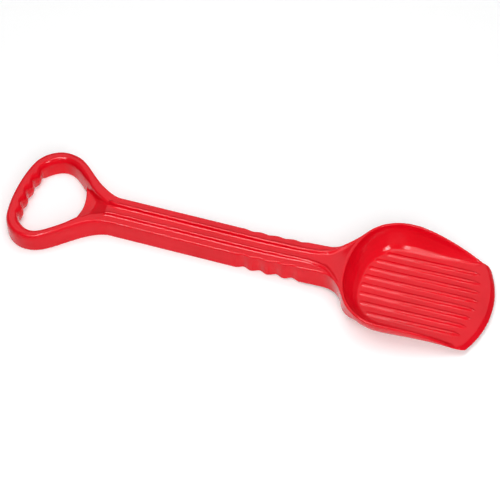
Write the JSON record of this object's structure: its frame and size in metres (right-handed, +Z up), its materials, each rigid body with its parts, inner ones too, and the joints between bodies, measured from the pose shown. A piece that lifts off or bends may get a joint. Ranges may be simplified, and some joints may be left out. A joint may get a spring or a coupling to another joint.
{
  "type": "sand shovel",
  "caption": "One-piece plastic sand shovel with an open hand loop, a channelled shaft with finger notches and a shallow rounded scoop with floor ribs.",
  "frame": {"origin": "centre of the bounding box in plan, on the surface that the shovel lies on", "axes": "+X from the hand loop to the tip of the scoop, +Y to the left, +Z up, out of the open scoop"},
  "size_m": [0.5439, 0.1452, 0.0309],
  "materials": {
    "red_plastic": "glossy moulded"
  },
  "bodies": {
    "root": {"grip_bar": "red_plastic", "left_arm": "red_plastic", "right_arm": "red_plastic", "handle_web": "red_plastic", "left_shaft_rail": "red_plastic", "right_shaft_rail": "red_plastic", "shaft_deck": "red_plastic", "left_ridge": "red_plastic", "right_ridge": "red_plastic", "shaft_cross_webs": "red_plastic", "left_finger_rail": "red_plastic", "right_finger_rail": "red_plastic", "neck_ramp": "red_plastic", "left_neck_wall": "red_plastic", "right_neck_wall": "red_plastic", "scoop_back_wall": "red_plastic", "left_scoop_wall": "red_plastic", "right_scoop_wall": "red_plastic", "scoop_floor": "red_plastic", "floor_ribs": "red_plastic", "front_lip": "red_plastic"}
  },
  "joints": []
}
